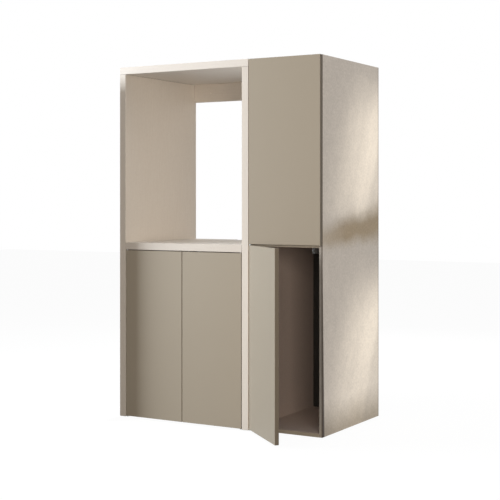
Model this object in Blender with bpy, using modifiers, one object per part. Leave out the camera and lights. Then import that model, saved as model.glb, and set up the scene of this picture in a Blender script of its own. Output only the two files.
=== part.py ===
"""Washing machine cabinet, modelled piece by piece as it is built.

A pale frame unit with an open niche for a machine over a two-door cupboard stands
beside a tall column with two doors, whose outer side has a metal lacquer.
No door has a handle: each is pushed to open, and turns on pins at its top and bottom.
Metres, +Z up, the front faces -Y. The lower column door stands open.
"""

import math

import bmesh
import bpy
from mathutils import Matrix, Vector

# Whole cabinet
CABINET_HEIGHT = 1.810
CABINET_DEPTH = 0.670
FRAME_WIDTH = 0.770
COLUMN_WIDTH = 0.3915
FOOT_HEIGHT = 0.006

# Boards
FRAME_BOARD = 0.036
CARCASS_BOARD = 0.018
BACK_BOARD = 0.008
BOARD_EDGE = 0.0008
END_PANEL_EDGE = 0.0018
SHELF_TOP_HEIGHT = 0.905
COLUMN_SPLIT_HEIGHT = 0.9075
RAIL_HEIGHT = 0.100
RAIL_HOLE_RADIUS = 0.003
RAIL_HOLE_SETBACK = 0.110
LOOSE_SHELF_SETBACK = 0.030

# Doors and the gaps round them
DOOR_THICKNESS = 0.020
DOOR_EDGE = 0.001
DOOR_SIDE_GAP = 0.003
DOOR_MEETING_GAP = 0.003
DOOR_BACK_CLEARANCE = 0.001
DOOR_TOP_GAP = 0.0035
DOOR_FOOT_GAP = 0.004
COLUMN_DOOR_GAP = 0.005
COLUMN_TOP_REVEAL = 0.001
END_REVEAL = 0.001
LOWER_COLUMN_DOOR_ANGLE = 42.0

# Pieces that touch keep SEAT between them, cutters run past a face by CUT_OVERRUN, and
# points closer than WELD_DISTANCE become one
SEAT = 0.0003
CUT_OVERRUN = 0.002
WELD_DISTANCE = 0.00001

# Pivots: a pin on a flat plate turns in a bush in the door's edge
PIVOT_PIN_RADIUS = 0.0025
PIVOT_PIN_ENGAGEMENT = 0.008
PIVOT_PLATE_THICKNESS = 0.0025
PIVOT_PLATE_HALF_WIDTH = 0.005
PIVOT_PLATE_LENGTH = 0.068
PIVOT_FOOT_REACH = 0.034
PIVOT_FOOT_LENGTH = 0.034
BUSH_WALL = 0.0012
BUSH_TOP_FLANGE = 0.0008
BUSH_END_ROOM = 0.002

# Screws of the pivot plates
SCREW_HEAD_RADIUS = 0.0034
SCREW_HEAD_DEPTH = 0.0016
SCREW_RECESS_RADIUS = 0.0013
SCREW_RECESS_DEPTH = 0.0010
SCREW_SHANK_RADIUS = 0.0016
SCREW_COVER = 0.003
SCREW_SPACING = 0.018
SCREW_END_MARGIN = 0.008

# Back panels sit in grooves; behind the cupboard's is room for hoses
GROOVE_DEPTH = 0.007
CUPBOARD_BACK_INSET = 0.058
COLUMN_BACK_INSET = 0.004
HOSE_NOTCH_WIDTH = 0.150
HOSE_NOTCH_DEPTH = 0.050
HOSE_NOTCH_RADIUS = 0.018

# Shelf pins and their rows of holes
PIN_RADIUS = 0.0025
PIN_CHAMFER = 0.0005
PIN_DEPTH = 0.009
PIN_REACH = 0.009
PIN_ROW_PITCH = 0.032
PIN_ROW_SETBACK = 0.080

# Levelling feet
FOOT_RADIUS = 0.013
FOOT_COLLAR_RADIUS = 0.008
FOOT_EDGE = 0.001
FOOT_STEM_RADIUS = 0.004
FOOT_STEM_COVER = 0.004
FOOT_SETBACK = 0.060
COLUMN_FOOT_SETBACK = 0.030

# Push latches
LATCH_WIDTH = 0.014
LATCH_HEIGHT = 0.028
LATCH_LENGTH = 0.064
LATCH_EDGE = 0.002
LATCH_SETBACK = 0.0075
LATCH_EAR_WIDTH = 0.034
LATCH_EAR_THICKNESS = 0.003
LATCH_EAR_LENGTH = 0.016
LATCH_TRAVEL_ROOM = 0.008
LATCH_DOOR_MARGIN = 0.032
PLUNGER_RADIUS = 0.0033
PLUNGER_TIP_RADIUS = 0.0027
PLUNGER_TIP_LENGTH = 0.004
PLUNGER_LENGTH = 0.045
STRIKE_RADIUS = 0.0075
STRIKE_THICKNESS = 0.0012
STRIKE_EDGE = 0.0004

# Facets of round pieces
ROUND_STEPS = 12
SMALL_STEPS = 8
SOCKET_STEPS = 6
CORNER_STEPS = 4

# A door's front corner swings out sideways by the pin's inset times root two less one,
# which has to fit the gap beside it, and its back corner has to clear the carcass
PIVOT_INSET = (DOOR_SIDE_GAP - SEAT) / (math.sqrt(2) - 1)
BACK_CORNER_SWING = math.hypot(PIVOT_INSET, DOOR_THICKNESS - PIVOT_INSET)
CARCASS_FRONT = PIVOT_INSET + BACK_CORNER_SWING + DOOR_BACK_CLEARANCE

# Places worked out from the sizes above
TOTAL_WIDTH = FRAME_WIDTH + COLUMN_WIDTH
FRAME_INSIDE_LEFT = FRAME_BOARD
FRAME_INSIDE_RIGHT = FRAME_WIDTH - FRAME_BOARD
FRAME_TOP_UNDERSIDE = CABINET_HEIGHT - FRAME_BOARD
SHELF_UNDERSIDE = SHELF_TOP_HEIGHT - FRAME_BOARD
BASE_TOP = FOOT_HEIGHT + CARCASS_BOARD
COLUMN_LEFT = FRAME_WIDTH + SEAT
COLUMN_INSIDE_LEFT = COLUMN_LEFT + CARCASS_BOARD
COLUMN_INSIDE_RIGHT = TOTAL_WIDTH - CARCASS_BOARD
COLUMN_TOP_UNDERSIDE = CABINET_HEIGHT - CARCASS_BOARD
CUPBOARD_BACK_REAR = CABINET_DEPTH - CUPBOARD_BACK_INSET
COLUMN_BACK_REAR = CABINET_DEPTH - COLUMN_BACK_INSET
DIVIDER_UNDERSIDE = COLUMN_SPLIT_HEIGHT - CARCASS_BOARD / 2
DIVIDER_TOP = COLUMN_SPLIT_HEIGHT + CARCASS_BOARD / 2
CUPBOARD_CENTRE = FRAME_WIDTH / 2
CUPBOARD_DOOR_WIDTH = (
    FRAME_INSIDE_RIGHT - FRAME_INSIDE_LEFT - DOOR_MEETING_GAP - 2 * DOOR_SIDE_GAP
) / 2
COLUMN_DOOR_LEFT = FRAME_WIDTH + DOOR_SIDE_GAP
COLUMN_DOOR_WIDTH = TOTAL_WIDTH - END_REVEAL - COLUMN_DOOR_LEFT
LEFT_DOOR_AXIS = FRAME_INSIDE_LEFT + DOOR_SIDE_GAP + PIVOT_INSET
RIGHT_DOOR_AXIS = FRAME_INSIDE_RIGHT - DOOR_SIDE_GAP - PIVOT_INSET
COLUMN_DOOR_AXIS = COLUMN_DOOR_LEFT + PIVOT_INSET
DOOR_FOOT = FOOT_HEIGHT + DOOR_FOOT_GAP
CUPBOARD_SHELF_UNDERSIDE = (BASE_TOP + SHELF_UNDERSIDE) / 2
COLUMN_SHELF_UNDERSIDE = (DIVIDER_TOP + COLUMN_TOP_UNDERSIDE) / 2
SCREW_LENGTH = CARCASS_BOARD - SCREW_COVER
FOOT_STEM_LENGTH = CARCASS_BOARD - FOOT_STEM_COVER
LATCH_FRONT = CARCASS_FRONT + LATCH_SETBACK
BUSH_BORE = PIVOT_PIN_RADIUS + SEAT
BUSH_RADIUS = BUSH_BORE + BUSH_WALL
BUSH_FLANGE_RADIUS = PIVOT_PLATE_HALF_WIDTH
BUSH_LENGTH = PIVOT_PIN_ENGAGEMENT + BUSH_END_ROOM

# The gap between each door's end and the plate it turns on
FOOT_PIVOT_GAP = DOOR_FOOT_GAP - PIVOT_PLATE_THICKNESS
MIDDLE_PIVOT_GAP = (COLUMN_DOOR_GAP - PIVOT_PLATE_THICKNESS) / 2
TOP_PIVOT_GAP = BUSH_TOP_FLANGE + 2 * SEAT

# The origin is on the floor, in the middle of the footprint with the open door
OPEN_ANGLE = math.radians(LOWER_COLUMN_DOOR_ANGLE)
OPEN_REACH = (
    (COLUMN_DOOR_WIDTH - PIVOT_INSET) * math.sin(OPEN_ANGLE)
    + PIVOT_INSET * math.cos(OPEN_ANGLE)
    - PIVOT_INSET
)
ORIGIN_X = TOTAL_WIDTH / 2
ORIGIN_Y = (CABINET_DEPTH - OPEN_REACH) / 2

UP = Matrix.Identity(4)
DOWN = Matrix.Rotation(math.pi, 4, "X")
BACKWARD = Matrix.Rotation(-math.pi / 2, 4, "X")
RIGHTWARD = Matrix.Rotation(math.pi / 2, 4, "Y")
LEFTWARD = Matrix.Rotation(-math.pi / 2, 4, "Y")


def clear_scene():
    for item in list(bpy.data.objects):
        bpy.data.objects.remove(item, do_unlink=True)
    for item in list(bpy.data.collections):
        bpy.data.collections.remove(item)


def make_collection(name):
    collection = bpy.data.collections.new(name)
    bpy.context.scene.collection.children.link(collection)
    return collection


def make_material(name, colour, roughness, metallic=0.0):
    material = bpy.data.materials.new(name)
    material.use_nodes = True
    shader = material.node_tree.nodes["Principled BSDF"]
    shader.inputs["Base Color"].default_value = (*colour, 1.0)
    shader.inputs["Roughness"].default_value = roughness
    shader.inputs["Metallic"].default_value = metallic
    return material


clear_scene()
PARTS = make_collection("washing_machine_cabinet")
CUTTERS = make_collection("cutters")

FRAME_LACQUER = make_material("frame_lacquer", (0.79, 0.73, 0.66), 0.55)
DOOR_LACQUER = make_material("door_lacquer", (0.39, 0.345, 0.27), 0.55)
METAL_LACQUER = make_material("metal_lacquer", (0.60, 0.53, 0.44), 0.40, 0.90)
MELAMINE = make_material("melamine", (0.45, 0.37, 0.33), 0.60)
BACK_MELAMINE = make_material("back_melamine", (0.040, 0.038, 0.036), 0.70)
STEEL = make_material("steel", (0.60, 0.60, 0.60), 0.35, 1.0)
NYLON = make_material("nylon", (0.55, 0.54, 0.52), 0.50)
BLACK_PLASTIC = make_material("black_plastic", (0.03, 0.03, 0.03), 0.45)
GREY_PLASTIC = make_material("grey_plastic", (0.10, 0.10, 0.10), 0.50)


def make_empty(name, location, parent=None):
    empty = bpy.data.objects.new(name, None)
    PARTS.objects.link(empty)
    empty.location = location
    empty.parent = parent
    return empty


CABINET = make_empty("cabinet_origin", (-ORIGIN_X, -ORIGIN_Y, 0))


def finish_piece(piece, parent, material):
    """A piece with a material joins the cabinet; one without is a cutter."""
    piece.parent = parent or CABINET
    if material:
        piece.data.materials.append(material)
        PARTS.objects.link(piece)
    else:
        piece.display_type = "WIRE"
        piece.hide_render = True
        CUTTERS.objects.link(piece)
    return piece


def add_boolean(piece, other, operation="DIFFERENCE"):
    boolean = piece.modifiers.new(other.name, "BOOLEAN")
    boolean.operation = operation
    boolean.solver = "EXACT"
    boolean.object = other


def cut(targets, cutter):
    for target in targets:
        add_boolean(target, cutter)


def box(name, low, high, material=None, edge=0.0, parent=None, segments=1):
    """A board or block between two corners, with its edges eased by edge."""
    low, high = Vector(low), Vector(high)
    mesh = bpy.data.meshes.new(name)
    shape = bmesh.new()
    bmesh.ops.create_cube(shape, size=1.0, matrix=Matrix.Diagonal((*(high - low), 1.0)))
    shape.to_mesh(mesh)
    shape.free()
    piece = bpy.data.objects.new(name, mesh)
    piece.location = (low + high) / 2
    if edge:
        bevel = piece.modifiers.new("edges", "BEVEL")
        bevel.width = edge
        bevel.segments = segments
    return finish_piece(piece, parent, material)


def turned(name, profile, place, turn=UP, material=None, parent=None, steps=ROUND_STEPS, ring=False):
    """A piece turned round its own Z axis from (radius, height) points, top to bottom."""
    last = len(profile) - 1
    links = [(index, index + 1) for index in range(last)]
    if ring:
        links.append((last, 0))
    mesh = bpy.data.meshes.new(name)
    mesh.from_pydata([(radius, 0, height) for radius, height in profile], links, [])
    piece = bpy.data.objects.new(name, mesh)
    piece.matrix_local = Matrix.Translation(place) @ turn
    screw = piece.modifiers.new("turn", "SCREW")
    screw.axis = "Z"
    screw.steps = steps
    screw.render_steps = steps
    screw.use_merge_vertices = True
    screw.merge_threshold = WELD_DISTANCE
    return finish_piece(piece, parent, material)


def rod(name, radius, bottom, top, place, turn=UP, material=None, parent=None, steps=SMALL_STEPS):
    """A plain round bar or bore between two heights on its own axis."""
    profile = [(0, top), (radius, top), (radius, bottom), (0, bottom)]
    return turned(name, profile, place, turn, material, parent, steps)


def plate(name, outline, low, high, place, material=None, parent=None):
    """A flat plate: a drawn outline in X and Y, given its thickness from low to high."""
    drawing = bpy.data.curves.new(name, "CURVE")
    drawing.dimensions = "2D"
    drawing.fill_mode = "BOTH"
    drawing.extrude = (high - low) / 2
    spline = drawing.splines.new("POLY")
    spline.points.add(len(outline) - 1)
    for point, (x, y) in zip(spline.points, outline):
        point.co = (x, y, 0, 1)
    spline.use_cyclic_u = True
    sketch = bpy.data.objects.new(name, drawing)
    PARTS.objects.link(sketch)
    bpy.context.view_layer.update()
    graph = bpy.context.evaluated_depsgraph_get()
    mesh = bpy.data.meshes.new_from_object(sketch.evaluated_get(graph))
    bpy.data.objects.remove(sketch, do_unlink=True)
    shape = bmesh.new()
    shape.from_mesh(mesh)
    bmesh.ops.remove_doubles(shape, verts=shape.verts, dist=WELD_DISTANCE)
    bmesh.ops.translate(shape, verts=shape.verts, vec=(0, 0, (low + high) / 2))
    bmesh.ops.recalc_face_normals(shape, faces=shape.faces)
    shape.to_mesh(mesh)
    shape.free()
    piece = bpy.data.objects.new(name, mesh)
    piece.location = place
    return finish_piece(piece, parent, material)


def frame_board(name, low, high, material=FRAME_LACQUER):
    return box(name, low, high, material, BOARD_EDGE)


# The frame unit: two sides under a top board, with the machine's shelf between them
side_top = FRAME_TOP_UNDERSIDE - SEAT
between_left = FRAME_INSIDE_LEFT + SEAT
between_right = FRAME_INSIDE_RIGHT - SEAT
frame_left = frame_board(
    "frame_left_side", (0, 0, FOOT_HEIGHT), (FRAME_INSIDE_LEFT, CABINET_DEPTH, side_top)
)
frame_right = frame_board(
    "frame_right_side", (FRAME_INSIDE_RIGHT, 0, FOOT_HEIGHT), (FRAME_WIDTH, CABINET_DEPTH, side_top)
)
frame_board(
    "frame_top", (0, 0, FRAME_TOP_UNDERSIDE), (FRAME_WIDTH, CABINET_DEPTH, CABINET_HEIGHT)
)
machine_shelf = frame_board(
    "machine_shelf",
    (between_left, 0, SHELF_UNDERSIDE),
    (between_right, CABINET_DEPTH, SHELF_TOP_HEIGHT),
)
base_board = frame_board(
    "base_board",
    (between_left, CARCASS_FRONT, FOOT_HEIGHT),
    (between_right, CABINET_DEPTH, BASE_TOP),
    MELAMINE,
)
back_rail = frame_board(
    "niche_back_rail",
    (between_left, CABINET_DEPTH - CARCASS_BOARD, FRAME_TOP_UNDERSIDE - RAIL_HEIGHT),
    (between_right, CABINET_DEPTH, FRAME_TOP_UNDERSIDE - SEAT),
)

# The column: its outer side is the panel with the metal finish
column_left = frame_board(
    "column_left_side",
    (COLUMN_LEFT, CARCASS_FRONT, FOOT_HEIGHT),
    (COLUMN_INSIDE_LEFT, CABINET_DEPTH, CABINET_HEIGHT),
    MELAMINE,
)
end_panel = box(
    "column_end_panel",
    (COLUMN_INSIDE_RIGHT, CARCASS_FRONT, FOOT_HEIGHT),
    (TOTAL_WIDTH, CABINET_DEPTH, CABINET_HEIGHT),
    METAL_LACQUER,
    END_PANEL_EDGE,
    segments=2,
)
column_inner_left = COLUMN_INSIDE_LEFT + SEAT
column_inner_right = COLUMN_INSIDE_RIGHT - SEAT
column_top = frame_board(
    "column_top",
    (column_inner_left, CARCASS_FRONT, COLUMN_TOP_UNDERSIDE),
    (column_inner_right, CABINET_DEPTH, CABINET_HEIGHT),
    MELAMINE,
)
column_divider = frame_board(
    "column_divider",
    (column_inner_left, CARCASS_FRONT, DIVIDER_UNDERSIDE),
    (column_inner_right, COLUMN_BACK_REAR - BACK_BOARD - SEAT, DIVIDER_TOP),
    MELAMINE,
)
column_bottom = frame_board(
    "column_bottom",
    (column_inner_left, CARCASS_FRONT, FOOT_HEIGHT),
    (column_inner_right, CABINET_DEPTH, BASE_TOP),
    MELAMINE,
)


def make_back(name, low_x, high_x, rear, low_z, high_z, neighbours, material):
    """A thin back let into a groove in each board round it."""
    front = rear - BACK_BOARD
    box(
        name,
        (low_x - GROOVE_DEPTH, front, low_z - GROOVE_DEPTH),
        (high_x + GROOVE_DEPTH, rear, high_z + GROOVE_DEPTH),
        material,
    )
    reach = GROOVE_DEPTH + SEAT
    groove = box(
        name + "_groove",
        (low_x - reach, front - SEAT, low_z - reach),
        (high_x + reach, rear + SEAT, high_z + reach),
    )
    cut(neighbours, groove)


make_back(
    "cupboard_back", FRAME_INSIDE_LEFT, FRAME_INSIDE_RIGHT, CUPBOARD_BACK_REAR, BASE_TOP,
    SHELF_UNDERSIDE, [frame_left, frame_right, machine_shelf, base_board], MELAMINE,
)
make_back(
    "column_back", COLUMN_INSIDE_LEFT, COLUMN_INSIDE_RIGHT, COLUMN_BACK_REAR, BASE_TOP,
    COLUMN_TOP_UNDERSIDE, [column_left, end_panel, column_top, column_bottom], BACK_MELAMINE,
)


def arc(centre_x, centre_y, radius, start, end, steps):
    """Points on a round corner, from one angle to another in degrees."""
    turn = math.radians(end - start) / steps
    first = math.radians(start)
    return [
        (
            centre_x + radius * math.cos(first + step * turn),
            centre_y + radius * math.sin(first + step * turn),
        )
        for step in range(steps + 1)
    ]


# A notch at the back of the machine's shelf lets the hoses and the cable down
notch_half = HOSE_NOTCH_WIDTH / 2
notch_inner = notch_half - HOSE_NOTCH_RADIUS
notch_front = CABINET_DEPTH - HOSE_NOTCH_DEPTH
notch_open = CABINET_DEPTH + CUT_OVERRUN
hose_notch = plate(
    "hose_notch",
    arc(-notch_inner, notch_front + HOSE_NOTCH_RADIUS, HOSE_NOTCH_RADIUS, 180, 270, CORNER_STEPS)
    + arc(notch_inner, notch_front + HOSE_NOTCH_RADIUS, HOSE_NOTCH_RADIUS, 270, 360, CORNER_STEPS)
    + [(notch_half, notch_open), (-notch_half, notch_open)],
    SHELF_UNDERSIDE - CUT_OVERRUN,
    SHELF_TOP_HEIGHT + CUT_OVERRUN,
    (CUPBOARD_CENTRE, 0, 0),
)
cut([machine_shelf], hose_notch)

# Two holes in the rail take the screws that hold the cabinet to a wall
rail_centre = FRAME_TOP_UNDERSIDE - RAIL_HEIGHT / 2
for hole_x in (FRAME_INSIDE_LEFT + RAIL_HOLE_SETBACK, FRAME_INSIDE_RIGHT - RAIL_HOLE_SETBACK):
    wall_hole = rod(
        "wall_hole", RAIL_HOLE_RADIUS, -CARCASS_BOARD - CUT_OVERRUN, CUT_OVERRUN,
        (hole_x, CABINET_DEPTH, rail_centre), BACKWARD,
    )
    cut([back_rail], wall_hole)


def make_loose_shelf(name, low_x, high_x, underside, rear, sides):
    """A lift-out shelf on four pins, with a short row of pin holes in each side."""
    front = CARCASS_FRONT + LOOSE_SHELF_SETBACK
    rear = rear - BACK_BOARD - SEAT
    box(
        name,
        (low_x + SEAT, front, underside),
        (high_x - SEAT, rear, underside + CARCASS_BOARD),
        MELAMINE,
        BOARD_EDGE,
    )
    pin_height = underside - SEAT - PIN_RADIUS
    pin_profile = [
        (0, PIN_REACH),
        (PIN_RADIUS - PIN_CHAMFER, PIN_REACH),
        (PIN_RADIUS, PIN_REACH - PIN_CHAMFER),
        (PIN_RADIUS, -PIN_DEPTH),
        (0, -PIN_DEPTH),
    ]
    walls = (("left", sides[0], low_x, RIGHTWARD), ("right", sides[1], high_x, LEFTWARD))
    rows = (("front", front + PIN_ROW_SETBACK), ("rear", rear - PIN_ROW_SETBACK))
    for side_name, side, wall, inward in walls:
        for row_name, depth in rows:
            for step in (-1, 0, 1):
                hole = rod(
                    "pin_hole", PIN_RADIUS + SEAT, -PIN_DEPTH - SEAT, CUT_OVERRUN,
                    (wall, depth, pin_height + step * PIN_ROW_PITCH), inward,
                )
                cut([side], hole)
            turned(
                f"{name}_pin_{side_name}_{row_name}", pin_profile, (wall, depth, pin_height),
                inward, STEEL, steps=SMALL_STEPS,
            )


make_loose_shelf(
    "cupboard_shelf", FRAME_INSIDE_LEFT, FRAME_INSIDE_RIGHT, CUPBOARD_SHELF_UNDERSIDE,
    CUPBOARD_BACK_REAR, [frame_left, frame_right],
)
make_loose_shelf(
    "column_shelf", COLUMN_INSIDE_LEFT, COLUMN_INSIDE_RIGHT, COLUMN_SHELF_UNDERSIDE,
    COLUMN_BACK_REAR, [column_left, end_panel],
)


def make_feet():
    """Levelling feet: two under each side of the frame unit and two at the column's end."""
    profile = [
        (0, FOOT_HEIGHT + FOOT_STEM_LENGTH),
        (FOOT_STEM_RADIUS, FOOT_HEIGHT + FOOT_STEM_LENGTH),
        (FOOT_STEM_RADIUS, FOOT_HEIGHT - SEAT),
        (FOOT_COLLAR_RADIUS, FOOT_HEIGHT - SEAT),
        (FOOT_RADIUS, FOOT_HEIGHT / 2),
        (FOOT_RADIUS, FOOT_EDGE),
        (FOOT_RADIUS - FOOT_EDGE, 0),
        (0, 0),
    ]
    places = (
        ("left", frame_left, FRAME_BOARD / 2),
        ("middle", frame_right, FRAME_WIDTH - FRAME_BOARD / 2),
        ("right", column_bottom, COLUMN_INSIDE_RIGHT - COLUMN_FOOT_SETBACK),
    )
    rows = (("front", CARCASS_FRONT + FOOT_SETBACK), ("rear", CABINET_DEPTH - FOOT_SETBACK))
    for side_name, board, place_x in places:
        for row_name, place_y in rows:
            hole = rod(
                "foot_hole", FOOT_STEM_RADIUS + SEAT, -CUT_OVERRUN, FOOT_STEM_LENGTH + SEAT,
                (place_x, place_y, FOOT_HEIGHT),
            )
            cut([board], hole)
            turned(
                f"foot_{side_name}_{row_name}", profile, (place_x, place_y, 0),
                material=BLACK_PLASTIC,
            )


make_feet()


def pivot_outline(grow, cranked):
    """A pivot plate's outline round its pin: a round nose in front and a bar to the back.

    A cranked plate's bar turns to the right, so that its screws meet the fixed board.
    """
    half = PIVOT_PLATE_HALF_WIDTH + grow
    rear = PIVOT_PLATE_LENGTH - PIVOT_INSET + grow
    outline = arc(0, 0, half, 180, 360, 2 * CORNER_STEPS)
    if cranked:
        foot_front = rear - PIVOT_FOOT_LENGTH - 2 * grow
        reach = PIVOT_FOOT_REACH + grow
        outline += [(half, foot_front), (reach, foot_front), (reach, rear)]
    else:
        outline.append((half, rear))
    outline.append((-half, rear))
    return outline


def pivot_screw_places(cranked):
    rear = PIVOT_PLATE_LENGTH - PIVOT_INSET - SCREW_END_MARGIN
    reach = PIVOT_FOOT_REACH - SCREW_END_MARGIN if cranked else 0
    return [(reach, rear), (reach, rear - SCREW_SPACING)]


def add_flush_screw(bar, boards, spot, turn):
    """A screw whose head lies flush in the plate: a ring groove round it, a hexagon
    socket, and its shank in the board."""
    groove_profile = [
        (SCREW_HEAD_RADIUS, CUT_OVERRUN),
        (SCREW_HEAD_RADIUS + SEAT, CUT_OVERRUN),
        (SCREW_HEAD_RADIUS + SEAT, -SCREW_HEAD_DEPTH),
        (SCREW_HEAD_RADIUS, -SCREW_HEAD_DEPTH),
    ]
    cut([bar], turned("screw_groove", groove_profile, spot, turn, steps=SMALL_STEPS, ring=True))
    cut([bar], rod(
        "screw_socket", SCREW_RECESS_RADIUS, -SCREW_RECESS_DEPTH, CUT_OVERRUN, spot, turn,
        steps=SOCKET_STEPS,
    ))
    shank = rod(
        "screw_shank", SCREW_SHANK_RADIUS, -SCREW_LENGTH, -PIVOT_PLATE_THICKNESS / 2, spot, turn
    )
    add_boolean(bar, shank, "UNION")
    cut(boards, rod(
        "screw_hole", SCREW_SHANK_RADIUS + SEAT, -SCREW_LENGTH - SEAT, CUT_OVERRUN, spot, turn
    ))


def add_through_screw(bar, boards, spot, turn):
    """A countersunk screw from the board's face through the board and the plate in it."""
    screw_profile = [
        (0, -SCREW_RECESS_DEPTH),
        (SCREW_RECESS_RADIUS, -SEAT),
        (SCREW_HEAD_RADIUS, -SEAT),
        (SCREW_SHANK_RADIUS, -SCREW_HEAD_DEPTH - SEAT),
        (SCREW_SHANK_RADIUS, -SCREW_LENGTH),
        (0, -SCREW_LENGTH),
    ]
    hole_profile = [
        (0, CUT_OVERRUN),
        (SCREW_HEAD_RADIUS + SEAT, CUT_OVERRUN),
        (SCREW_HEAD_RADIUS + SEAT, -SEAT),
        (SCREW_SHANK_RADIUS + SEAT, -SCREW_HEAD_DEPTH - SEAT),
        (SCREW_SHANK_RADIUS + SEAT, -SCREW_LENGTH - SEAT),
        (0, -SCREW_LENGTH - SEAT),
    ]
    add_boolean(bar, turned("through_screw", screw_profile, spot, turn, steps=SMALL_STEPS), "UNION")
    cut(boards, turned("through_hole", hole_profile, spot, turn, steps=SMALL_STEPS))


def make_pivot_plate(name, axis_x, low, pins, room, boards, screw_face, screw_turn, cranked):
    """A pivot plate let into its boards, with its pins and its two screws.

    pins lists (turn, length) for each pin, and room is how far the recess in the boards
    runs below and above the plate. The last board takes the screws.
    """
    high = low + PIVOT_PLATE_THICKNESS
    place = (axis_x, PIVOT_INSET, 0)
    bar = plate(name, pivot_outline(0, cranked), low, high, place, STEEL)
    recess = plate(name + "_recess", pivot_outline(SEAT, cranked), low - room[0], high + room[1], place)
    cut(boards, recess)
    for turn, length in pins:
        start = high if turn is UP else low
        pin = rod(
            "pivot_pin", PIVOT_PIN_RADIUS, -PIVOT_PLATE_THICKNESS / 2, length,
            (axis_x, PIVOT_INSET, start), turn, steps=ROUND_STEPS,
        )
        add_boolean(bar, pin, "UNION")
    flush = screw_face in (low, high)
    add_screw = add_flush_screw if flush else add_through_screw
    for offset_x, offset_y in pivot_screw_places(cranked):
        spot = (axis_x + offset_x, PIVOT_INSET + offset_y, screw_face)
        add_screw(bar, [boards[-1]], spot, screw_turn)


open_below = (CUT_OVERRUN, SEAT)
open_above = (SEAT, CUT_OVERRUN)
slotted = (SEAT, SEAT)
top_pin = (DOWN, DOOR_TOP_GAP + PIVOT_PIN_ENGAGEMENT)
foot_pin = (UP, FOOT_PIVOT_GAP + PIVOT_PIN_ENGAGEMENT)
for door_name, axis in (("left_door", LEFT_DOOR_AXIS), ("right_door", RIGHT_DOOR_AXIS)):
    make_pivot_plate(
        door_name + "_top_plate", axis, SHELF_UNDERSIDE, [top_pin], open_below, [machine_shelf],
        SHELF_UNDERSIDE, DOWN, False,
    )
    make_pivot_plate(
        door_name + "_foot_plate", axis, FOOT_HEIGHT, [foot_pin], open_below, [base_board],
        FOOT_HEIGHT, DOWN, False,
    )

top_plate_low = CABINET_HEIGHT - PIVOT_PLATE_THICKNESS
top_plate_face = top_plate_low + PIVOT_PLATE_THICKNESS
middle_plate_low = COLUMN_SPLIT_HEIGHT - PIVOT_PLATE_THICKNESS / 2
middle_pin_length = MIDDLE_PIVOT_GAP + PIVOT_PIN_ENGAGEMENT
make_pivot_plate(
    "column_top_plate", COLUMN_DOOR_AXIS, top_plate_low,
    [(DOWN, TOP_PIVOT_GAP + PIVOT_PIN_ENGAGEMENT)], open_above, [column_left, column_top],
    top_plate_face, UP, True,
)
make_pivot_plate(
    "column_middle_plate", COLUMN_DOOR_AXIS, middle_plate_low,
    [(UP, middle_pin_length), (DOWN, middle_pin_length)], slotted, [column_left, column_divider],
    DIVIDER_UNDERSIDE, DOWN, True,
)
make_pivot_plate(
    "column_foot_plate", COLUMN_DOOR_AXIS, FOOT_HEIGHT, [foot_pin], open_below,
    [column_left, column_bottom], FOOT_HEIGHT, DOWN, True,
)


def make_bush(name, hinge, end, turn, flange):
    """A flanged nylon bush let into the end of a door, round the pivot pin."""
    profile = [
        (BUSH_BORE, flange + SEAT),
        (BUSH_FLANGE_RADIUS, flange + SEAT),
        (BUSH_FLANGE_RADIUS, SEAT),
        (BUSH_RADIUS, SEAT),
        (BUSH_RADIUS, -BUSH_LENGTH),
        (BUSH_BORE, -BUSH_LENGTH),
    ]
    turned(name, profile, (0, 0, end), turn, NYLON, hinge, ring=True)


def make_door(name, axis_x, side, width, low, high, angle, latch_x, latch_z, foot_gap, top_notch=0.0):
    """A door leaf turned to its angle, with its bushes and the strike for its latch.

    side is +1 where the door hangs at its left edge and -1 at its right. foot_gap is the
    gap to the plate below, and top_notch makes room for a plate over the door.
    """
    hinge = make_empty(name + "_axis", (axis_x, PIVOT_INSET, 0), CABINET)
    hinge.rotation_euler.z = -side * math.radians(angle)
    ends_x = sorted((-side * PIVOT_INSET, side * (width - PIVOT_INSET)))
    rear_y = DOOR_THICKNESS - PIVOT_INSET
    leaf = box(
        name, (ends_x[0], -PIVOT_INSET, low), (ends_x[1], rear_y, high), DOOR_LACQUER, DOOR_EDGE, hinge
    )
    top_end = high - top_notch
    if top_notch:
        clear = PIVOT_PLATE_HALF_WIDTH + SEAT
        room = box(
            name + "_notch",
            (-PIVOT_INSET - CUT_OVERRUN, -clear, top_end),
            (clear, rear_y + CUT_OVERRUN, high + CUT_OVERRUN),
            parent=hinge,
        )
        cut([leaf], room)
    ends = (
        ("_foot_bush", low, DOWN, foot_gap - 2 * SEAT),
        ("_top_bush", top_end, UP, BUSH_TOP_FLANGE),
    )
    for bush_name, end, turn, flange in ends:
        socket = rod(
            name + "_socket", BUSH_RADIUS + SEAT, -BUSH_LENGTH - SEAT, CUT_OVERRUN,
            (0, 0, end), turn, parent=hinge, steps=ROUND_STEPS,
        )
        cut([leaf], socket)
        make_bush(name + bush_name, hinge, end, turn, flange)
    strike_profile = [
        (0, STRIKE_THICKNESS),
        (STRIKE_RADIUS - STRIKE_EDGE, STRIKE_THICKNESS),
        (STRIKE_RADIUS, STRIKE_THICKNESS - STRIKE_EDGE),
        (STRIKE_RADIUS, SEAT),
        (0, SEAT),
    ]
    turned(
        name + "_strike", strike_profile, (latch_x - axis_x, rear_y, latch_z), BACKWARD, STEEL, hinge
    )


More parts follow.
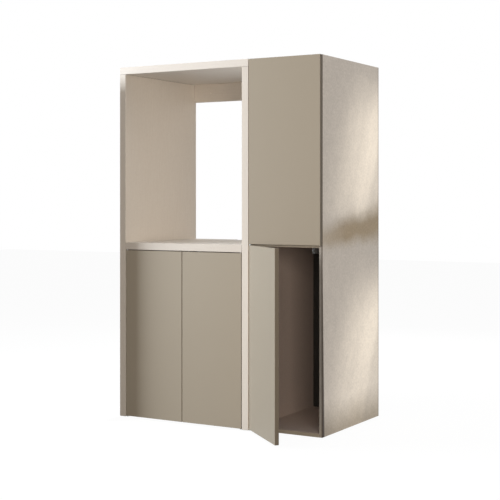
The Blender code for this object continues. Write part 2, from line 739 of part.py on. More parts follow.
def make_latch(door_name, latch_x, underside):
    """A push latch under a board; its sprung plunger meets the strike on the door."""
    axis_z = underside - SEAT - LATCH_HEIGHT / 2
    rear = LATCH_FRONT + LATCH_LENGTH
    top = underside - SEAT
    housing = box(
        door_name + "_latch",
        (latch_x - LATCH_WIDTH / 2, LATCH_FRONT, top - LATCH_HEIGHT),
        (latch_x + LATCH_WIDTH / 2, rear, top),
        GREY_PLASTIC,
        LATCH_EDGE,
    )
    ears = box(
        door_name + "_latch_ears",
        (latch_x - LATCH_EAR_WIDTH / 2, rear - LATCH_EAR_LENGTH - LATCH_EDGE, top - LATCH_EAR_THICKNESS),
        (latch_x + LATCH_EAR_WIDTH / 2, rear - LATCH_EDGE, top),
    )
    add_boolean(housing, ears, "UNION")
    tip = DOOR_THICKNESS + STRIKE_THICKNESS + SEAT
    plunger_rear = tip + PLUNGER_LENGTH
    bore = rod(
        door_name + "_latch_bore", PLUNGER_RADIUS + SEAT, LATCH_FRONT - CUT_OVERRUN,
        plunger_rear + LATCH_TRAVEL_ROOM, (latch_x, 0, axis_z), BACKWARD,
    )
    cut([housing], bore)
    profile = [
        (0, plunger_rear),
        (PLUNGER_RADIUS, plunger_rear),
        (PLUNGER_RADIUS, tip + PLUNGER_TIP_LENGTH),
        (PLUNGER_TIP_RADIUS, tip + PLUNGER_TIP_LENGTH),
        (PLUNGER_TIP_RADIUS, tip),
        (0, tip),
    ]
    turned(
        door_name + "_plunger", profile, (latch_x, 0, axis_z), BACKWARD, BLACK_PLASTIC,
        steps=SMALL_STEPS,
    )
    return axis_z


COLUMN_LATCH_X = COLUMN_INSIDE_RIGHT - LATCH_DOOR_MARGIN
LEFT_LATCH_X = CUPBOARD_CENTRE - LATCH_DOOR_MARGIN
RIGHT_LATCH_X = CUPBOARD_CENTRE + LATCH_DOOR_MARGIN
cupboard_top_end = SHELF_UNDERSIDE - DOOR_TOP_GAP
upper_door_top = CABINET_HEIGHT - COLUMN_TOP_REVEAL
notch_depth = PIVOT_PLATE_THICKNESS + TOP_PIVOT_GAP - COLUMN_TOP_REVEAL
upper_door_low = COLUMN_SPLIT_HEIGHT + COLUMN_DOOR_GAP / 2
lower_door_top = COLUMN_SPLIT_HEIGHT - COLUMN_DOOR_GAP / 2

latch_z = make_latch("left_door", LEFT_LATCH_X, SHELF_UNDERSIDE)
make_door(
    "left_door", LEFT_DOOR_AXIS, 1, CUPBOARD_DOOR_WIDTH, DOOR_FOOT, cupboard_top_end, 0,
    LEFT_LATCH_X, latch_z, FOOT_PIVOT_GAP,
)
latch_z = make_latch("right_door", RIGHT_LATCH_X, SHELF_UNDERSIDE)
make_door(
    "right_door", RIGHT_DOOR_AXIS, -1, CUPBOARD_DOOR_WIDTH, DOOR_FOOT, cupboard_top_end, 0,
    RIGHT_LATCH_X, latch_z, FOOT_PIVOT_GAP,
)
latch_z = make_latch("upper_column_door", COLUMN_LATCH_X, COLUMN_TOP_UNDERSIDE)
make_door(
    "upper_column_door", COLUMN_DOOR_AXIS, 1, COLUMN_DOOR_WIDTH, upper_door_low, upper_door_top, 0,
    COLUMN_LATCH_X, latch_z, MIDDLE_PIVOT_GAP, notch_depth,
)
latch_z = make_latch("lower_column_door", COLUMN_LATCH_X, DIVIDER_UNDERSIDE)
make_door(
    "lower_column_door", COLUMN_DOOR_AXIS, 1, COLUMN_DOOR_WIDTH, DOOR_FOOT, lower_door_top,
    LOWER_COLUMN_DOOR_ANGLE, COLUMN_LATCH_X, latch_z, FOOT_PIVOT_GAP,
)
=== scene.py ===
"""A laundry cabinet: a cream frame with an open niche over two doors, and a tall
column beside it with two doors and an end panel in champagne metal lacquer."""
import math

import bpy
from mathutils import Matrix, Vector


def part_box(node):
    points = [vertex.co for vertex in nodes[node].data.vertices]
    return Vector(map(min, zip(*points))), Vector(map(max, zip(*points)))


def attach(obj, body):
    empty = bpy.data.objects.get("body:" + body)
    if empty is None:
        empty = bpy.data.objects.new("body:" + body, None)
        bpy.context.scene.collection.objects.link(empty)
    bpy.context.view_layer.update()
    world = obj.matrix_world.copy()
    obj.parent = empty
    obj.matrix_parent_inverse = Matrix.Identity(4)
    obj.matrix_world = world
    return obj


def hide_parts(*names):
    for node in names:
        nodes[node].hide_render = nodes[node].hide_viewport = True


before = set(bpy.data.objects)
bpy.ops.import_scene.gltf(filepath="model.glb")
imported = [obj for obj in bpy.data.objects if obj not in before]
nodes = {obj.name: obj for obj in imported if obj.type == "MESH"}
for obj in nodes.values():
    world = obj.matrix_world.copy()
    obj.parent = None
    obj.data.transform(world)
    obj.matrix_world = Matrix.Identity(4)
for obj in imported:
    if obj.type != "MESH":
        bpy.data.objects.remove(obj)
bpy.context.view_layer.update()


# The room: a pale floor and a white surround, one broad soft lamp at the front left,
# as from a window, and weaker ones round about. A grey card beside the left front edge
# holds the window's light off the first part of the doors.
QUARTER_TURN = math.radians(90)
CAMERA_PLACE = (3.03525, -5.07237, 1.126)
CAMERA_TURN = math.radians(30.24)
SENSOR_WIDTH = 36
LENS = 83.635
SHIFT = -0.1007
WHITE = (1, 1, 1, 1)
SURROUND_LIGHT = 0.14
FLOOR_SIZE = 30.0
FLOOR_GREY = (0.06, 0.06, 0.06, 1)
FLOOR_GLOW = 0.96
LAMP_AIM = (0, 0, 0.9)
WINDOW_COLOUR = (0.88, 0.92, 0.96)
ROOM_COLOUR = (1.0, 0.88, 0.75)
# Each lamp's name, degrees to the right of the front, degrees up, distance, size, power
# and colour.
LAMPS = (("window lamp", -57, 10, 4.0, 2.2, 178, WINDOW_COLOUR),
         ("fill lamp", 36, 5, 5.0, 2.0, 100, ROOM_COLOUR),
         ("left rear lamp", -165, 20, 4.0, 2.0, 45, WINDOW_COLOUR),
         ("right rear lamp", 160, 20, 4.0, 2.0, 20, ROOM_COLOUR),
         ("top lamp", 0, 90, 3.0, 2.0, 45, WINDOW_COLOUR))
GLOSSY_LAMP = "window lamp"
CARD_GAP = 0.006
CARD_DEPTH = 0.138
CARD_HEIGHT = 1.77
CARD_FADE = 0.09


def deselect():
    """Nothing is selected, so that the next operator takes only what follows."""
    bpy.ops.object.select_all(action="DESELECT")


def place_in_mesh():
    """The selected piece's place, turn and size go into its mesh."""
    bpy.ops.object.transform_apply(location=True, rotation=True, scale=True)


def set_inputs(tree, node, values):
    """Values on a node's inputs; one that is another node's output is linked."""
    for name, value in values.items():
        if isinstance(value, bpy.types.NodeSocket):
            tree.links.new(value, node.inputs[name])
        else:
            node.inputs[name].default_value = value


def add_node(tree, kind, values=None, **settings):
    """A node with its settings, and with the given values on its inputs."""
    node = tree.nodes.new("ShaderNode" + kind)
    for name, value in settings.items():
        setattr(node, name, value)
    set_inputs(tree, node, values or {})
    return node


def add_math(tree, operation, *values, **settings):
    """One sum on numbers or outputs; returns its output."""
    node = add_node(tree, "Math", dict(enumerate(values)), operation=operation, **settings)
    return node.outputs[0]


def add_range(tree, value, low, high, start=0.0, end=1.0):
    """A value carried from one range to another, held at both ends."""
    node = add_node(tree, "MapRange", {"Value": value, "From Min": start, "From Max": end,
                                       "To Min": low, "To Max": high})
    return node.outputs["Result"]


def split_place(tree, place):
    """The X, Y and Z of a place."""
    return add_node(tree, "SeparateXYZ", {"Vector": place}).outputs


def start_material(name, **values):
    """A material with one Principled shader, and the object's own coordinates."""
    material = bpy.data.materials.new(name)
    material.use_nodes = True
    tree = material.node_tree
    tree.nodes.clear()
    shader = add_node(tree, "BsdfPrincipled", values)
    add_node(tree, "OutputMaterial", {"Surface": shader.outputs["BSDF"]})
    place = add_node(tree, "TexCoord").outputs["Object"]
    return material, tree, shader, place


def white_for_camera(tree):
    """One where the ray comes from the camera or a mirror, and nought elsewhere."""
    path = add_node(tree, "LightPath").outputs
    seen = add_math(tree, "MAXIMUM", path["Is Camera Ray"], path["Is Glossy Ray"])
    return add_math(tree, "MAXIMUM", seen, path["Is Transmission Ray"])


def set_camera():
    """The photograph's view: level, so that uprights stay upright."""
    data = bpy.data.cameras.new("camera")
    data.sensor_width = SENSOR_WIDTH
    data.lens = LENS
    data.shift_y = SHIFT
    camera = bpy.data.objects.new("camera", data)
    camera.location = CAMERA_PLACE
    camera.rotation_euler = (QUARTER_TURN, 0, CAMERA_TURN)
    bpy.context.scene.collection.objects.link(camera)
    bpy.context.scene.camera = camera
    bpy.context.scene.view_settings.view_transform = "Standard"


def light_surround():
    """A world that lights a little all round, and looks white."""
    world = bpy.data.worlds.new("surround")
    bpy.context.scene.world = world
    world.use_nodes = True
    tree = world.node_tree
    tree.nodes.clear()
    dim = add_node(tree, "Background", {"Color": WHITE, "Strength": SURROUND_LIGHT})
    white = add_node(tree, "Background", {"Color": WHITE, "Strength": 1})
    both = add_node(tree, "MixShader", {0: white_for_camera(tree), 1: dim.outputs[0],
                                        2: white.outputs[0]})
    add_node(tree, "OutputWorld", {"Surface": both.outputs[0]})


def lay_floor():
    """A floor that looks nearly white, takes a shadow and throws little light back."""
    deselect()
    bpy.ops.mesh.primitive_plane_add(size=FLOOR_SIZE)
    floor = bpy.context.object
    floor.name = "floor"
    paint = bpy.data.materials.new("floor")
    paint.use_nodes = True
    tree = paint.node_tree
    tree.nodes.clear()
    grey = add_node(tree, "BsdfDiffuse", {"Color": FLOOR_GREY})
    strength = add_math(tree, "MULTIPLY", white_for_camera(tree), FLOOR_GLOW)
    glow = add_node(tree, "Emission", {"Color": WHITE, "Strength": strength})
    both = add_node(tree, "AddShader", {0: grey.outputs[0], 1: glow.outputs[0]})
    add_node(tree, "OutputMaterial", {"Surface": both.outputs[0]})
    floor.data.materials.append(paint)


def hang_lamp(name, side, rise, distance, size, power, colour):
    """A square soft lamp that faces the cabinet. Only the window's shows in gloss."""
    data = bpy.data.lights.new(name, "AREA")
    data.shape = "SQUARE"
    data.size = size
    data.energy = power
    data.color = colour
    lamp = bpy.data.objects.new(name, data)
    side, rise = math.radians(side), math.radians(rise)
    reach = distance * math.cos(rise)
    lamp.location = (LAMP_AIM[0] + reach * math.sin(side),
                     LAMP_AIM[1] - reach * math.cos(side),
                     LAMP_AIM[2] + distance * math.sin(rise))
    lamp.rotation_euler = (QUARTER_TURN - rise, 0, side)
    lamp.visible_glossy = name == GLOSSY_LAMP
    bpy.context.scene.collection.objects.link(lamp)


def stand_card():
    """The card, which lets more light past towards its top edge."""
    low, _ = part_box("frame_left_side")
    deselect()
    bpy.ops.mesh.primitive_plane_add(size=1)
    card = bpy.context.object
    card.name = "card"
    card.scale = (CARD_DEPTH, CARD_HEIGHT, 1)
    card.rotation_euler = (QUARTER_TURN, 0, QUARTER_TURN)
    card.location = (low[0] - CARD_GAP, low[1] - CARD_DEPTH / 2, CARD_HEIGHT / 2)
    place_in_mesh()
    card.visible_camera = False
    card.visible_glossy = False
    paint, tree, shader, place = start_material("card", **{"Base Color": FLOOR_GREY})
    height = split_place(tree, place)["Z"]
    fade = add_range(tree, height, 1, 0, CARD_HEIGHT - CARD_FADE, CARD_HEIGHT)
    set_inputs(tree, shader, {"Alpha": fade})
    card.data.materials.append(paint)


set_camera()
light_surround()
lay_floor()
for lamp in LAMPS:
    hang_lamp(*lamp)
stand_card()


# The frame unit: two sides, a top and a shelf of 36 mm board and a rail at the back,
# lacquered cream over a faint grain along each board. They are glued and doweled, and a
# fine dark line shows where one board ends against the next.
CREAM = (0.82, 0.765, 0.695, 1)
CREAM_SHADE = (0.76, 0.70, 0.63, 1)
# Lit and shaded copies of the same cream: the top board's is painted paler, as painted
# light, and the shelf's and rail's darker, as painted shade.
CREAM_PAINTED_LIT = (0.86, 0.81, 0.75, 1)
CREAM_PAINTED_LIT_SHADE = (0.82, 0.765, 0.70, 1)
CREAM_PAINTED_DIM = (0.785, 0.73, 0.66, 1)
CREAM_PAINTED_DIM_SHADE = (0.725, 0.665, 0.60, 1)
CREAM_GLOSS = 0.3
CREAM_ROUGH = (0.62, 0.5)
CREAM_PEEL = 0.0022
CREAM_PEEL_DEPTH = 0.0002
CREAM_MOTTLE = 0.011
CREAM_MOTTLE_CONTRAST = 2.2
CREAM_GRAIN = 0.0035
CREAM_GRAIN_CONTRAST = 3.0
CREAM_GRAIN_STRETCH = 30
CREAM_GRAIN_SHARE = 0.5
JOINT_LINE = (0.16, 0.14, 0.12, 1)
JOINT_WIDTH = 0.0009
JOINT_CORE = 0.0005
MOTTLE_DETAIL = 3.0
MOTTLE_ROUGHNESS = 0.6
PEEL_DETAIL = 2.0
PEEL_ROUGHNESS = 0.55


def start_group(name, inputs, outputs):
    """An empty node group, what it is given, and its output node."""
    tree = bpy.data.node_groups.new(name, "ShaderNodeTree")
    for way, sockets in (("INPUT", inputs), ("OUTPUT", outputs)):
        for label, kind in sockets.items():
            tree.interface.new_socket(label, in_out=way, socket_type="NodeSocket" + kind)
    given = tree.nodes.new("NodeGroupInput").outputs
    return tree, given, tree.nodes.new("NodeGroupOutput")


def add_noise(tree, given, detail, roughness):
    """Noise of the size that the group is given, on its coordinates."""
    scale = add_math(tree, "DIVIDE", 1.0, given["Size"])
    noise = add_node(tree, "TexNoise", {"Vector": given["Vector"], "Scale": scale,
                                        "Detail": detail, "Roughness": roughness})
    return noise.outputs["Fac"]


def make_mottle():
    """Soft patches of a given size, as a mask from nought to one, spread about half."""
    tree, given, out = start_group(
        "mottle", {"Vector": "Vector", "Size": "Float", "Contrast": "Float"},
        {"Mask": "Float"})
    noise = add_noise(tree, given, MOTTLE_DETAIL, MOTTLE_ROUGHNESS)
    centred = add_math(tree, "SUBTRACT", noise, 0.5)
    set_inputs(tree, out, {"Mask": add_math(tree, "MULTIPLY_ADD", centred,
                                            given["Contrast"], 0.5, use_clamp=True)})
    return tree


def make_peel():
    """The low waves and fine grain of a sprayed coat, as a surface normal."""
    tree, given, out = start_group(
        "spray peel", {"Vector": "Vector", "Size": "Float", "Depth": "Float"},
        {"Normal": "Vector"})
    noise = add_noise(tree, given, PEEL_DETAIL, PEEL_ROUGHNESS)
    bump = add_node(tree, "Bump", {"Strength": 1.0, "Distance": given["Depth"],
                                   "Height": noise})
    set_inputs(tree, out, {"Normal": bump.outputs["Normal"]})
    return tree


MOTTLE = make_mottle()
PEEL = make_peel()


def add_group(tree, group, place, **values):
    """A shared effect at a place, with its own values; returns what it puts out."""
    node = add_node(tree, "Group", {"Vector": place, **values}, node_tree=group)
    return node.outputs[0]


def add_mix(tree, factor, first, second, blend="MIX"):
    """Two colours mixed by a factor. A Mix node takes colours at its inputs 6 and 7 and
    gives one at its output 2."""
    mix = add_node(tree, "Mix", {0: factor, 6: first, 7: second}, data_type="RGBA",
                   blend_type=blend)
    return mix.outputs[2]


def add_coat(tree, shader, place, colour, rough, peel, depth):
    """A coat's colour and roughness, and the fine waves of its surface."""
    waves = add_group(tree, PEEL, place, Size=peel, Depth=depth)
    set_inputs(tree, shader, {"Base Color": colour, "Roughness": rough, "Normal": waves})


def cream_lacquer(name, light, shade, along, board=None):
    """Cream lacquer over a board whose grain runs along X or Z, with the joint line at
    the ends of a board, if one is given."""
    material, tree, shader, place = start_material(
        name, **{"Specular IOR Level": CREAM_GLOSS})
    patches = add_group(tree, MOTTLE, place, Size=CREAM_MOTTLE,
                        Contrast=CREAM_MOTTLE_CONTRAST)
    squeeze = [1 / CREAM_GRAIN_STRETCH if axis == along else 1 for axis in "XYZ"]
    drawn = add_node(tree, "VectorMath", {0: place, 1: squeeze}, operation="MULTIPLY")
    grain = add_group(tree, MOTTLE, drawn.outputs[0], Size=CREAM_GRAIN,
                      Contrast=CREAM_GRAIN_CONTRAST)
    tone = add_mix(tree, CREAM_GRAIN_SHARE, patches, grain)
    colour = add_mix(tree, tone, shade, light)
    if board:
        low, high = (corner["XYZ".index(along)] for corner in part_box(board))
        half = (high - low) / 2
        way = split_place(tree, place)[along]
        reach = add_math(tree, "ABSOLUTE", add_math(tree, "SUBTRACT", way, low + half))
        line = add_range(tree, reach, 0, 1, half - JOINT_WIDTH, half - JOINT_CORE)
        colour = add_mix(tree, line, colour, JOINT_LINE)
    rough = add_range(tree, patches, *CREAM_ROUGH)
    add_coat(tree, shader, place, colour, rough, CREAM_PEEL, CREAM_PEEL_DEPTH)
    return material


def finish(material, *names):
    """The nodes take this material in place of their plain one."""
    for name in names:
        node = nodes[name]
        node.data.materials.clear()
        node.data.materials.append(material)


finish(cream_lacquer("cream lacquer upright", CREAM, CREAM_SHADE, "Z", "frame_left_side"),
       "frame_left_side", "frame_right_side")
# Painted shade on the shelf and rail, and painted light on the top board.
finish(cream_lacquer("cream lacquer, painted shade", CREAM_PAINTED_DIM, CREAM_PAINTED_DIM_SHADE, "X",
                     "machine_shelf"),
       "machine_shelf", "niche_back_rail")
finish(cream_lacquer("cream lacquer, painted light", CREAM_PAINTED_LIT, CREAM_PAINTED_LIT_SHADE, "X"), "frame_top")


# The doors: 20 mm board, sprayed taupe all round with a fine matt lacquer and pressed
# to open, so that their faces are bare. They hang on pivots at top and foot.
TAUPE = (0.405, 0.352, 0.277, 1)
TAUPE_SHADE = (0.385, 0.334, 0.261, 1)
# Painted shade on the doors' narrow edges.
TAUPE_EDGE_PAINTED_SHADE = (0.215, 0.182, 0.14, 1)
TAUPE_GLOSS = 0.35
TAUPE_ROUGH = (0.6, 0.5)
TAUPE_PEEL = 0.0012
TAUPE_PEEL_DEPTH = 0.00005
TAUPE_MOTTLE = 0.35
TAUPE_MOTTLE_CONTRAST = 1.2
TAUPE_FLECK = 0.0024
TAUPE_FLECK_CONTRAST = 1.0
TAUPE_FLECK_SHARE = 0.35
LOWER_DOOR_TURN = math.radians(-42)
DOORS = ("left_door", "right_door", "upper_column_door", "lower_column_door")


def taupe_lacquer(name, turn=0.0):
    """The lacquer of a door that stands turned so far, with painted shade on its narrow
    edges, which are darker than its two faces."""
    material, tree, shader, place = start_material(
        name, **{"Specular IOR Level": TAUPE_GLOSS})
    patches = add_group(tree, MOTTLE, place, Size=TAUPE_MOTTLE,
                        Contrast=TAUPE_MOTTLE_CONTRAST)
    flecks = add_group(tree, MOTTLE, place, Size=TAUPE_FLECK,
                       Contrast=TAUPE_FLECK_CONTRAST)
    tone = add_mix(tree, TAUPE_FLECK_SHARE, patches, flecks)
    normal = add_node(tree, "TexCoord").outputs["Normal"]
    facing = add_node(tree, "VectorMath", {0: normal,
                                           1: (-math.sin(turn), math.cos(turn), 0)},
                      operation="DOT_PRODUCT").outputs["Value"]
    # Painted shade: the narrow edges, which turn away from the door's front, take the
    # darker edge colour.
    colour = add_mix(tree, add_math(tree, "POWER", facing, 2), TAUPE_EDGE_PAINTED_SHADE,
                     add_mix(tree, tone, TAUPE_SHADE, TAUPE))
    rough = add_range(tree, flecks, *TAUPE_ROUGH)
    add_coat(tree, shader, place, colour, rough, TAUPE_PEEL, TAUPE_PEEL_DEPTH)
    return material


finish(taupe_lacquer("taupe lacquer"), *DOORS[:3])
finish(taupe_lacquer("taupe lacquer, door ajar", LOWER_DOOR_TURN), DOORS[3])


# The end panel: a board with champagne metal lacquer on its outer side, clouded under a
# fine metal grain, with a painted reflection that runs from bronze to pale gold and
# painted shade at its foot. The upright edges are painted dark, and the inner side has the
# melamine of the other boards.
METAL_DULL = (0.475, 0.42, 0.362, 1)
# The pale gold of the painted reflection.
METAL_PAINTED_REFLECTION = (0.97, 0.86, 0.72, 1)
METAL_KHAKI = (0.31, 0.235, 0.145, 1)
METAL_FOOT_PAINTED_SHADE = (0.54, 0.51, 0.46, 1)
METAL_EDGE = (0.036, 0.022, 0.012, 1)
METALLIC = 0.9
METAL_ROUGH = (0.5, 0.34)
METAL_PEEL = 0.0016
METAL_PEEL_DEPTH = 0.0001
METAL_GRAIN = 0.010
METAL_GRAIN_CONTRAST = 2.5
METAL_GRAIN_TONE = (0.935, 1.05)
METAL_BLOTCH = 0.035
METAL_BLOTCH_CONTRAST = 2.0
METAL_BLOTCH_TONE = (0.94, 1.05)
METAL_CLOUD = 0.30
METAL_CLOUD_CONTRAST = 2.0
METAL_DRIFT = 0.03
# Each band of the painted reflection leans by this part of the panel's depth.
REFLECTION_BANDS = 2
REFLECTION_BAND_LEAN = 0.56
# How bright the painted reflection on the lacquer is by its height on the panel and by its
# distance from the front, and how strong the khaki streak is from its foot to its top:
# pairs of place and value.
REFLECTION_BY_HEIGHT = ((0.0, 0.7), (0.14, 0.8), (0.25, 1.0), (0.36, 0.65), (0.42, 0.22),
               (0.49, 0.0), (0.54, 0.0), (0.58, 0.5), (0.635, 0.8), (0.745, 1.0),
               (0.86, 0.9), (0.96, 0.3), (1.0, 0.1))
REFLECTION_BY_DEPTH = ((0.0, 0.0), (0.08, 0.04), (0.20, 0.125), (0.34, 0.33), (0.5, 0.61),
              (0.65, 0.78), (0.8, 1.0), (0.93, 0.95), (1.0, 0.7))
STREAK = ((0.0, 0.0), (0.22, 0.08), (0.42, 0.9), (0.55, 1.0), (0.66, 0.8), (0.85, 0.25),
          (1.0, 0.0))
STREAK_FOOT = 0.83
STREAK_WIDTH = (0.19, 0.33)
STREAK_AT_FRONT = 0.55
STREAK_FULL = 0.4
# The painted shade at the panel's foot fades out between these two heights.
FOOT_SHADE = (0.02, 0.18)
# The front face has painted shade from its middle to its outer corner. Beside it the
# painted shade on the side has one width at the foot and another at its top, and fades
# about that width.
FRONT_FACE = (0.0003, 0.0014)
FRONT_TINT = (0.0, 0.9)
FRONT_DARKENED = (0.020, 0.0015)
DARKENED_FADE = (0.7, 1.3)
DARKENED_TOP = 0.81
REAR_DARKENED = 0.016
REAR_TINT = 0.6
SKIN = 0.0004
MELAMINE = (0.57, 0.48, 0.435, 1)
INNER_ROUGH = 0.56


def add_curve(tree, value, stops):
    """A smooth ramp of greys through the given stops, read as a value."""
    ramp = add_node(tree, "ValToRGB", {"Fac": value})
    ramp.color_ramp.interpolation = "CARDINAL"
    elements = ramp.color_ramp.elements
    while len(elements) < len(stops):
        elements.new(0.5)
    for element, (place, grey) in zip(elements, stops):
        element.position = place
        element.color = (grey, grey, grey, 1)
    return ramp.outputs["Color"]


def clouds_with_painted_light(tree, place, depth, height, low, high):
    """The clouded colour of the lacquer, with a painted reflection in pale gold in two
    slanting bands, a khaki streak between them, and painted shade at the foot."""
    clouds = add_group(tree, MOTTLE, place, Size=METAL_CLOUD,
                       Contrast=METAL_CLOUD_CONTRAST)
    drift = add_range(tree, clouds, -METAL_DRIFT, METAL_DRIFT)
    height = add_math(tree, "ADD", height, drift)
    rise = add_range(tree, height, 0, 1, low[2], high[2])
    reach = add_range(tree, add_math(tree, "ADD", depth, drift), 0, 1, low[1], high[1])
    part = add_math(tree, "FRACT", add_math(tree, "MULTIPLY", rise, REFLECTION_BANDS))
    lean = add_range(tree, part, REFLECTION_BAND_LEAN / 2, -REFLECTION_BAND_LEAN / 2)
    # The glow is the painted reflection: bright bands of pale gold over the dull lacquer.
    glow = add_math(tree, "MULTIPLY", add_curve(tree, rise, REFLECTION_BY_HEIGHT),
                    add_curve(tree, add_math(tree, "ADD", reach, lean), REFLECTION_BY_DEPTH))
    colour = add_mix(tree, glow, METAL_DULL, METAL_PAINTED_REFLECTION)
    across = add_math(tree, "DIVIDE", add_math(tree, "SUBTRACT", height, STREAK_FOOT),
                      add_range(tree, reach, *STREAK_WIDTH))
    streak = add_math(tree, "MULTIPLY", add_curve(tree, across, STREAK),
                      add_range(tree, reach, STREAK_AT_FRONT, 1, 0, STREAK_FULL))
    colour = add_mix(tree, streak, colour, METAL_KHAKI)
    # Painted shade near the floor: the colour is darkened towards the foot.
    foot_painted_shade = add_mix(tree, 1.0, colour, METAL_FOOT_PAINTED_SHADE, blend="MULTIPLY")
    return add_mix(tree, add_range(tree, height, 1, 0, *FOOT_SHADE), colour, foot_painted_shade)


def darkened_edges(tree, split, low, high):
    """How far the upright edges are painted dark: painted shade at the front, widest near
    the floor, and a darker band along the rear edge.
    """
    front = add_math(tree, "SUBTRACT", split["Y"], low[1])
    width = add_range(tree, split["Z"], *FRONT_DARKENED, low[2], DARKENED_TOP)
    darkened = add_range(tree, add_math(tree, "DIVIDE", front, width), 1, 0, *DARKENED_FADE)
    middle = (low[0] + high[0]) / 2
    tint = add_range(tree, split["X"], *FRONT_TINT, middle, high[0])
    darkened = add_math(tree, "MINIMUM", darkened, add_range(tree, front, tint, 1, *FRONT_FACE))
    rear = add_math(tree, "SUBTRACT", high[1], split["Y"])
    rear = add_range(tree, rear, REAR_TINT, 0, 0, REAR_DARKENED)
    return add_math(tree, "MAXIMUM", darkened, rear)


def metal_lacquer():
    """The outer side's lacquer, and melamine on the inner side."""
    material, tree, shader, place = start_material("champagne metal lacquer")
    low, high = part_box("column_end_panel")
    split = split_place(tree, place)
    grain = add_group(tree, MOTTLE, place, Size=METAL_GRAIN,
                      Contrast=METAL_GRAIN_CONTRAST)
    blotch = add_group(tree, MOTTLE, place, Size=METAL_BLOTCH,
                       Contrast=METAL_BLOTCH_CONTRAST)
    tone = add_math(tree, "MULTIPLY", add_range(tree, grain, *METAL_GRAIN_TONE),
                    add_range(tree, blotch, *METAL_BLOTCH_TONE))
    clouds = clouds_with_painted_light(tree, place, split["Y"], split["Z"], low, high)
    colour = add_mix(tree, 1.0, clouds, tone, blend="MULTIPLY")
    # Painted shade on the front edges, and a darker band along the rear edge.
    colour = add_mix(tree, darkened_edges(tree, split, low, high), colour, METAL_EDGE)
    outside = add_range(tree, split["X"], 0, 1, low[0], low[0] + SKIN)
    set_inputs(tree, shader, {"Metallic": add_range(tree, outside, 0, METALLIC)})
    rough = add_node(tree, "Mix", {0: outside, 2: INNER_ROUGH,
                                   3: add_range(tree, grain, *METAL_ROUGH)}).outputs[0]
    add_coat(tree, shader, place, add_mix(tree, outside, MELAMINE, colour), rough,
             METAL_PEEL, METAL_PEEL_DEPTH)
    return material


finish(metal_lacquer(), "column_end_panel")


# The carcass boards inside: chipboard with a greige melamine skin that is pressed with
# a fine leather texture. They are doweled and cammed together, and the column's have a
# band in the doors' taupe on their front edges.
MELAMINE_SHADE = (0.50, 0.42, 0.38, 1)
MELAMINE_ROUGH = (0.62, 0.5)
MELAMINE_GRAIN = 0.006
MELAMINE_CONTRAST = 1.8
MELAMINE_PEEL = 0.0025
MELAMINE_PEEL_DEPTH = 0.0002


def melamine(name, light, shade, front=None):
    """Melamine with a fine leather grain, and the band on a front edge where its depth
    is given."""
    material, tree, shader, place = start_material(name)
    grain = add_group(tree, MOTTLE, place, Size=MELAMINE_GRAIN, Contrast=MELAMINE_CONTRAST)
    colour = add_mix(tree, grain, shade, light)
    if front is not None:
        depth = split_place(tree, place)["Y"]
        inside = add_range(tree, depth, 0, 1, front, front + SKIN)
        colour = add_mix(tree, inside, TAUPE, colour)
    rough = add_range(tree, grain, *MELAMINE_ROUGH)
    add_coat(tree, shader, place, colour, rough, MELAMINE_PEEL, MELAMINE_PEEL_DEPTH)
    return material


finish(melamine("greige melamine", MELAMINE, MELAMINE_SHADE), "base_board",
       "cupboard_shelf", "cupboard_back", "column_shelf")
finish(melamine("banded greige melamine", MELAMINE, MELAMINE_SHADE,
                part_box("column_divider")[0][1]), "column_left_side", "column_top",
       "column_divider", "column_bottom")


# The column's back: 8 mm board with a melamine skin, pressed with the same texture and
# made near-black as painted shade for the deep shade at the back of the column. It slides
# into grooves in the boards round it.
BACK = (0.045, 0.043, 0.04, 1)
BACK_SHADE = (0.032, 0.031, 0.029, 1)
finish(melamine("near-black melamine, painted shade", BACK, BACK_SHADE), "column_back")


# The pivot plates, strikes and shelf pins: zinc-plated steel, bright and faintly milky.
# The plates are let into the boards with two screws each; the pins push in by hand.
ZINC = (0.58, 0.58, 0.57, 1)
ZINC_SHADE = (0.46, 0.46, 0.46, 1)
ZINC_ROUGH = (0.5, 0.36)
ZINC_BLOOM = 0.004
ZINC_BLOOM_CONTRAST = 2.0
ZINC_PEEL = 0.0012
ZINC_PEEL_DEPTH = 0.00004


def zinc_steel():
    """Steel under a thin zinc coat, rougher where its bloom is dark."""
    material, tree, shader, place = start_material("zinc steel", Metallic=1.0)
    bloom = add_group(tree, MOTTLE, place, Size=ZINC_BLOOM, Contrast=ZINC_BLOOM_CONTRAST)
    add_coat(tree, shader, place, add_mix(tree, bloom, ZINC_SHADE, ZINC),
             add_range(tree, bloom, *ZINC_ROUGH), ZINC_PEEL, ZINC_PEEL_DEPTH)
    return material


ZINC_STEEL = zinc_steel()
finish(ZINC_STEEL, *[name for name in nodes
                     if name.endswith("_plate") or "shelf_pin" in name])


# The bushes: turned from natural nylon, with a flange. They are pressed into the ends
# of the doors, and the pins turn in them.
NYLON_LIGHT = (0.6, 0.58, 0.54, 1)
NYLON_SHADE = (0.54, 0.52, 0.48, 1)
NYLON_ROUGH = 0.4
PLASTIC_ROUGHER = 0.08
PLASTIC_GRAIN = 0.0015
PLASTIC_CONTRAST = 1.6
PLASTIC_PEEL = 0.0006
PLASTIC_PEEL_DEPTH = 0.00003


def smooth_plastic(name, light, shade, rough):
    """Turned or moulded plastic, a little rougher where its grain is dark."""
    material, tree, shader, place = start_material(name)
    grain = add_group(tree, MOTTLE, place, Size=PLASTIC_GRAIN, Contrast=PLASTIC_CONTRAST)
    add_coat(tree, shader, place, add_mix(tree, grain, shade, light),
             add_range(tree, grain, rough + PLASTIC_ROUGHER, rough),
             PLASTIC_PEEL, PLASTIC_PEEL_DEPTH)
    return material


NYLON = smooth_plastic("natural nylon", NYLON_LIGHT, NYLON_SHADE, NYLON_ROUGH)
finish(NYLON, *[name for name in nodes if name.endswith("_bush")])


